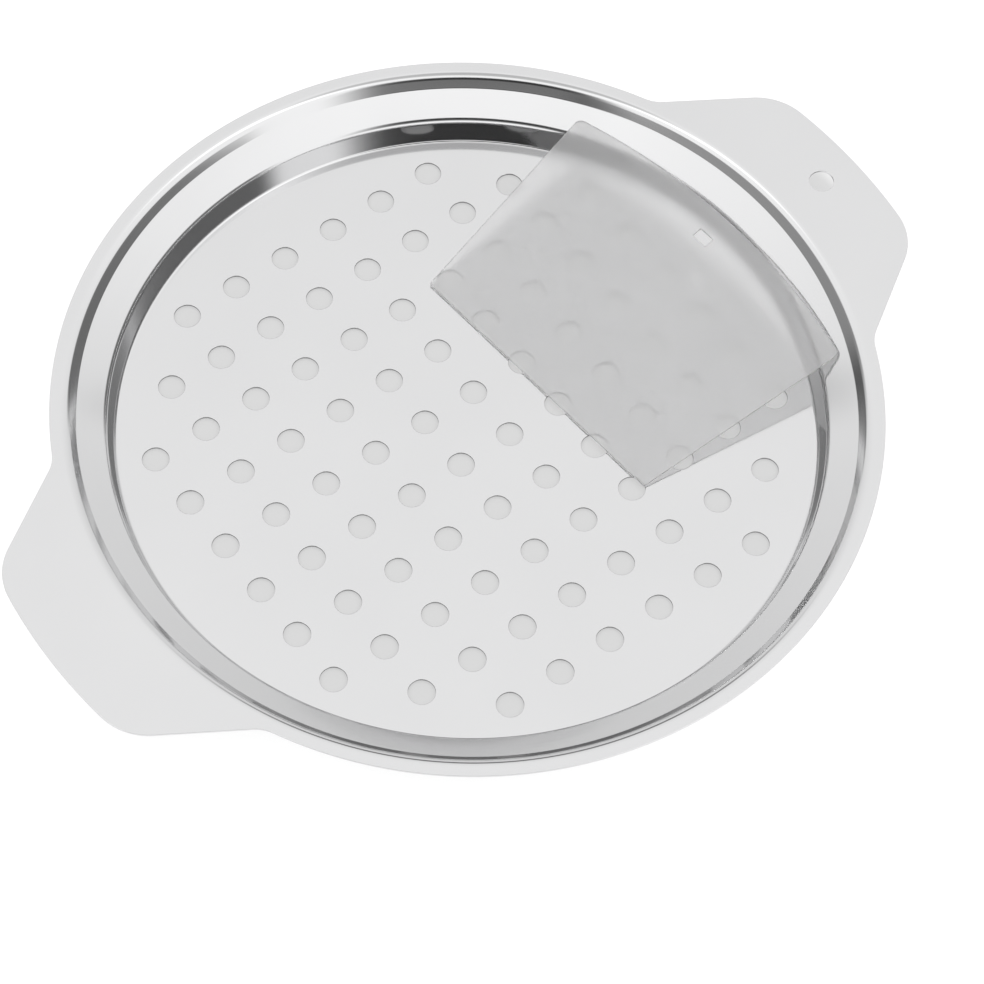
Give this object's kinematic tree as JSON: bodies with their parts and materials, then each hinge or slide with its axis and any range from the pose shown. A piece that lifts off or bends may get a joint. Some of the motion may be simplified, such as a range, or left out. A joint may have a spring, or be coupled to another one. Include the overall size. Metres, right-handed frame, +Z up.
{
  "type": "spaetzle maker",
  "caption": "Round pierced steel plate with a stepped rim and two flat handles that sits on a pot, with a loose translucent dough scraper lying in it.",
  "frame": {"origin": "centre of the round floor's underside, which is what the plate stands on when it lies on a table", "axes": "+X runs along the line through both handles, towards the handle with the hanging hole; +Y across it; +Z up out of the dish"},
  "size_m": [0.3114, 0.26, 0.018],
  "materials": {
    "plate_steel": "satin pressed stainless steel",
    "scraper_plastic": "frosted translucent flexible plastic"
  },
  "bodies": {
    "plate": {"perforated_plate": "plate_steel"},
    "scraper": {"dough_scraper": "scraper_plastic"}
  },
  "joints": [
    {"name": "scraper_stroke", "type": "slide", "parent": "plate", "child": "scraper", "axis": [-0.9954, -0.0958, 0], "range_m": [0, 0.115]}
  ]
}
